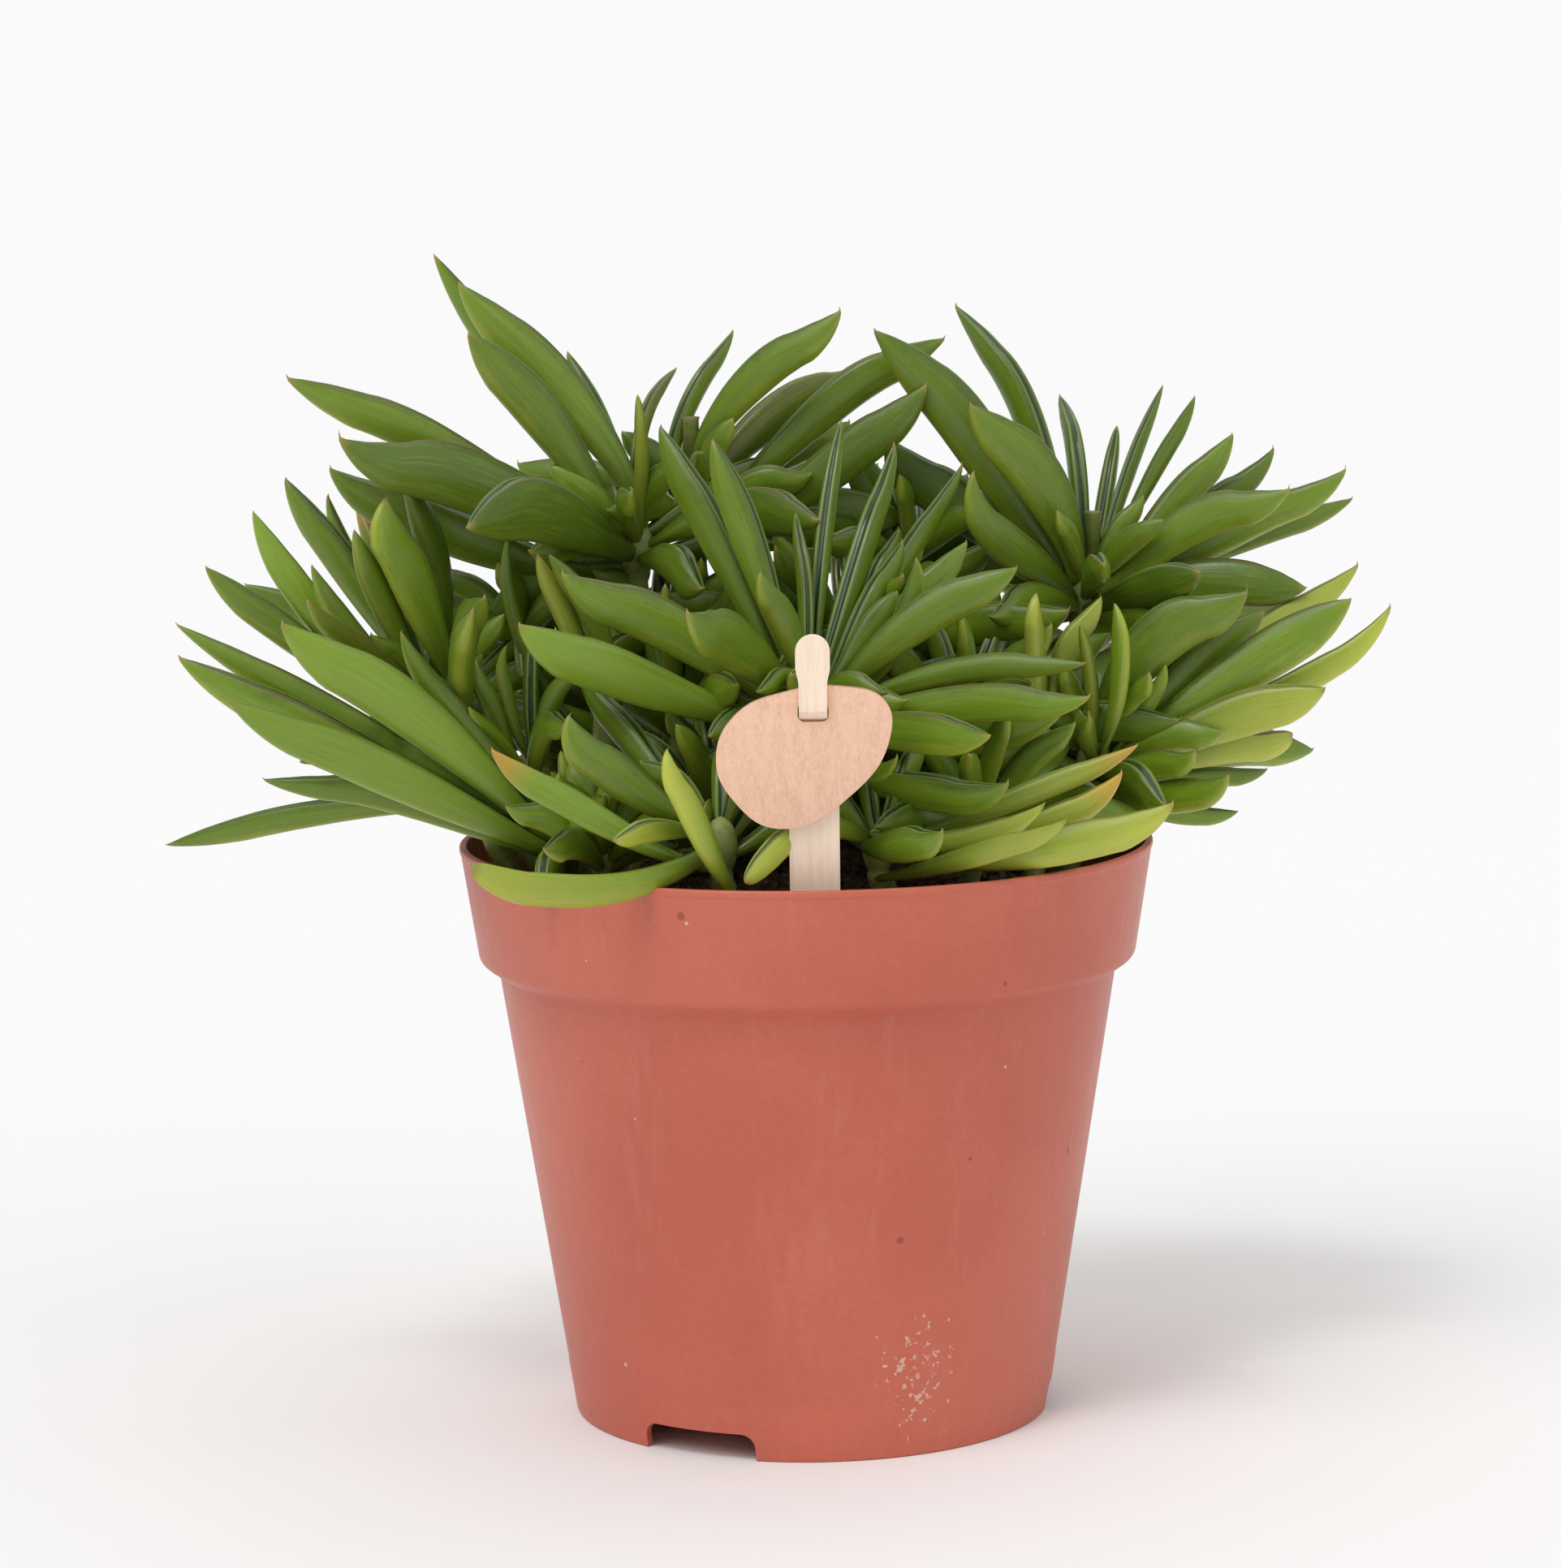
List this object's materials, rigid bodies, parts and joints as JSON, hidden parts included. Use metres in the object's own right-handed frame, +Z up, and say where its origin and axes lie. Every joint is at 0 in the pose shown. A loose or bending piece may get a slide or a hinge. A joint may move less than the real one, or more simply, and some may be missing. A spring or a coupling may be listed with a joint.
{
  "type": "potted peperomia",
  "caption": "Peperomia with long folded pod-like leaves in a thin tapered plastic nursery pot, with soil and a blank wooden tag on a stick.",
  "frame": {"origin": "on the surface that the pot stands on, under the middle of the whole plant's bounding box; the pot's own axis is 3 mm to +X and 8 mm to +Y of it", "axes": "+Z up; -Y towards the front, the side with the tag; +X to the right of someone who looks at the tag, along the plant's widest spread"},
  "size_m": [0.214, 0.136, 0.2],
  "materials": {
    "pot_plastic": "satin terracotta-coloured moulded plastic with a little dust and lime",
    "soil": "dark, crumbly, slightly moist potting compost",
    "stick_wood": "pale bare birch, fine straight grain",
    "tag_wood": "pale brown bare wood-fibre board, matt",
    "stem_green": "smooth fleshy green, slightly glossy",
    "leaf_green": "smooth waxy green, satin gloss, some leaves yellow green or brown-purple at the edge"
  },
  "bodies": {
    "root": {"pot": "pot_plastic", "soil": "soil", "tag_stick": "stick_wood", "tag_plate": "tag_wood", "stem_back_left": "stem_green", "leaf_back_left_1": "leaf_green", "leaf_back_left_2": "leaf_green", "leaf_back_left_3": "leaf_green", "leaf_back_left_4": "leaf_green", "leaf_back_left_5": "leaf_green", "leaf_back_left_6": "leaf_green", "stem_back_centre": "stem_green", "leaf_back_centre_1": "leaf_green", "leaf_back_centre_2": "leaf_green", "leaf_back_centre_3": "leaf_green", "leaf_back_centre_4": "leaf_green", "stem_back_right": "stem_green", "leaf_back_right_1": "leaf_green", "leaf_back_right_2": "leaf_green", "leaf_back_right_3": "leaf_green", "leaf_back_right_4": "leaf_green", "leaf_back_right_5": "leaf_green", "leaf_back_right_6": "leaf_green", "leaf_back_right_7": "leaf_green", "leaf_back_right_8": "leaf_green", "leaf_back_right_9": "leaf_green", "stem_left": "stem_green", "leaf_left_1": "leaf_green", "leaf_left_2": "leaf_green", "leaf_left_3": "leaf_green", "stem_low_left": "stem_green", "leaf_low_left_1": "leaf_green", "leaf_low_left_2": "leaf_green", "leaf_low_left_3": "leaf_green", "leaf_low_left_4": "leaf_green", "stem_centre": "stem_green", "leaf_centre_1": "leaf_green", "leaf_centre_2": "leaf_green", "leaf_centre_3": "leaf_green", "leaf_centre_4": "leaf_green", "leaf_centre_5": "leaf_green", "leaf_centre_6": "leaf_green", "leaf_centre_7": "leaf_green", "leaf_centre_8": "leaf_green", "leaf_centre_9": "leaf_green", "stem_right": "stem_green", "leaf_right_1": "leaf_green", "leaf_right_2": "leaf_green", "leaf_right_3": "leaf_green", "leaf_right_4": "leaf_green", "stem_front_right": "stem_green", "leaf_front_right_1": "leaf_green", "leaf_front_right_2": "leaf_green", "leaf_front_right_3": "leaf_green", "stem_front_left": "stem_green", "leaf_front_left_1": "leaf_green", "leaf_front_left_2": "leaf_green", "leaf_front_left_3": "leaf_green", "leaf_front_left_4": "leaf_green"}
  },
  "joints": []
}
